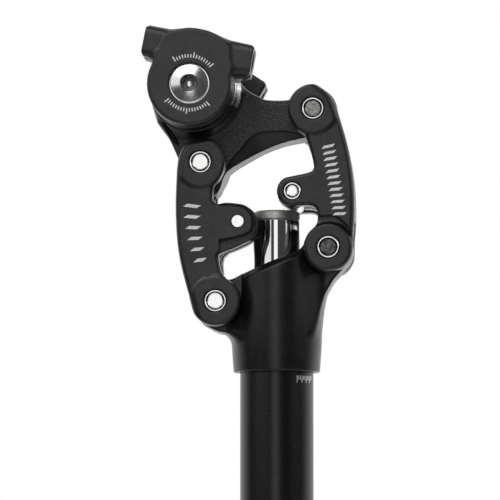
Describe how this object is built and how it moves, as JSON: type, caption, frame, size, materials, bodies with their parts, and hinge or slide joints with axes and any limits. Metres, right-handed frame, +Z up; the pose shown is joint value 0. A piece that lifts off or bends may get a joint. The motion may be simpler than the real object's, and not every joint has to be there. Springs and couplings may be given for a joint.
{
  "type": "suspension seatpost",
  "caption": "Parallelogram suspension seatpost with a plain tube, two links over a roller and spring plunger, and a side-bolt saddle rail clamp.",
  "frame": {"origin": "seat tube's axis at the lower face of the head casting's collar", "axes": "+X to the front of the bicycle, +Y to the rider's left, +Z up along the tube"},
  "size_m": [0.0781, 0.0595, 0.3634],
  "materials": {
    "black_paint": "satin black paint on cast aluminium",
    "clamp_paint": "satin dark grey paint on forged aluminium",
    "tube_anodise": "satin black anodised",
    "chrome": "hard chrome, polished",
    "bright_steel": "bright zinc-plated or turned steel",
    "dark_steel": "hardened steel, dull",
    "bronze": "sintered bronze",
    "black_rubber": "matt",
    "black_plastic": "matt"
  },
  "bodies": {
    "lower_assembly": {"seat_tube": "tube_anodise", "head_casting": "black_paint", "lower_plunger_bush": "black_plastic", "upper_plunger_bush": "black_plastic", "wiper_seal": "black_rubber", "rear_lower_bush": "bronze", "front_lower_bush": "bronze", "main_spring": "dark_steel"},
    "front_link": {"front_link": "black_paint", "front_lower_axle": "bright_steel", "front_upper_axle": "bright_steel", "roller_axle": "bright_steel", "front_lower_ring_near": "bright_steel", "front_lower_ring_far": "bright_steel", "front_upper_ring_near": "bright_steel", "front_upper_ring_far": "bright_steel", "roller_ring_near": "bright_steel", "roller_ring_far": "bright_steel"},
    "rear_link": {"rear_link": "black_paint", "rear_lower_axle": "bright_steel", "rear_upper_axle": "bright_steel", "rear_lower_ring_near": "bright_steel", "rear_lower_ring_far": "bright_steel", "rear_upper_ring_near": "bright_steel", "rear_upper_ring_far": "bright_steel", "bumper_pin": "bright_steel", "top_out_bumper": "black_rubber"},
    "roller": {"roller": "bright_steel"},
    "plunger": {"plunger": "chrome", "plunger_cap": "dark_steel"},
    "preload_spacer": {"preload_spacer": "black_plastic"},
    "preload_plug": {"preload_plug": "bright_steel"},
    "upper_head": {"upper_head": "black_paint", "rear_upper_bush": "bronze", "front_upper_bush": "bronze"},
    "near_cradle": {"near_inner_clamp": "clamp_paint"},
    "far_cradle": {"far_inner_clamp": "clamp_paint"},
    "near_clamp": {"near_outer_clamp": "clamp_paint", "bolt_washer": "bright_steel"},
    "far_clamp": {"far_outer_clamp": "clamp_paint", "clamp_nut": "bright_steel"},
    "clamp_bolt": {"clamp_bolt": "bright_steel"}
  },
  "joints": [
    {"name": "front_link_pivot", "type": "hinge", "parent": "lower_assembly", "child": "front_link", "pos_m": [0.0197, 0, 0.0453], "axis": [0, -1, 0], "range_deg": [0, 50], "stiffness_Nm_per_rad": 11.5, "springref_deg": -9.74},
    {"name": "upper_head_pivot", "type": "hinge", "parent": "front_link", "child": "upper_head", "pos_m": [0.0141, 0, 0.0966], "axis": [0, -1, 0], "range_deg": [-50, 0]},
    {"name": "rear_link_pivot", "type": "hinge", "parent": "lower_assembly", "child": "rear_link", "pos_m": [-0.0218, 0, 0.0256], "axis": [0, -1, 0], "range_deg": [0, 50]},
    {"name": "plunger_slide", "type": "slide", "parent": "lower_assembly", "child": "plunger", "axis": [0, 0, -1], "range_m": [0, 0.0175], "deforming": ["main_spring"]},
    {"name": "roller_spin", "type": "hinge", "parent": "front_link", "child": "roller", "pos_m": [0.0065, 0, 0.066], "axis": [0, -1, 0], "continuous": true},
    {"name": "near_cradle_tilt", "type": "hinge", "parent": "upper_head", "child": "near_cradle", "pos_m": [-0.0308, 0, 0.1048], "axis": [0, -1, 0], "range_deg": [-20, 15]},
    {"name": "far_cradle_tilt", "type": "hinge", "parent": "upper_head", "child": "far_cradle", "pos_m": [-0.0308, 0, 0.1048], "axis": [0, -1, 0], "range_deg": [-0.5, 34.5]},
    {"name": "bolt_turn", "type": "hinge", "parent": "near_clamp", "child": "clamp_bolt", "pos_m": [-0.0308, 0, 0.1048], "axis": [0, -1, 0], "range_deg": [0, 2880]},
    {"name": "near_clamp_open", "type": "slide", "parent": "near_cradle", "child": "near_clamp", "axis": [0, -1, 0], "range_m": [0, 0.005]},
    {"name": "far_clamp_open", "type": "slide", "parent": "far_cradle", "child": "far_clamp", "axis": [0, 1, 0], "range_m": [0, 0.005]},
    {"name": "preload_turn", "type": "hinge", "parent": "preload_spacer", "child": "preload_plug", "pos_m": [0, 0, -0.2212], "axis": [0, 0, 1], "range_deg": [0, 1440]},
    {"name": "preload_seat_slide", "type": "slide", "parent": "lower_assembly", "child": "preload_spacer", "axis": [0, 0, 1], "range_m": [0, 0.006]}
  ],
  "couplings": [
    {"joint": "upper_head_pivot", "follows": "front_link_pivot", "ratio": -1},
    {"joint": "rear_link_pivot", "follows": "front_link_pivot", "ratio": 1},
    {"joint": "plunger_slide", "follows": "front_link_pivot", "m_per_rad": 0.02005},
    {"joint": "far_clamp_open", "follows": "near_clamp_open", "ratio": 1},
    {"joint": "bolt_turn", "follows": "near_clamp_open", "rad_per_m": 10053},
    {"joint": "preload_turn", "follows": "preload_seat_slide", "rad_per_m": 4188.7}
  ]
}
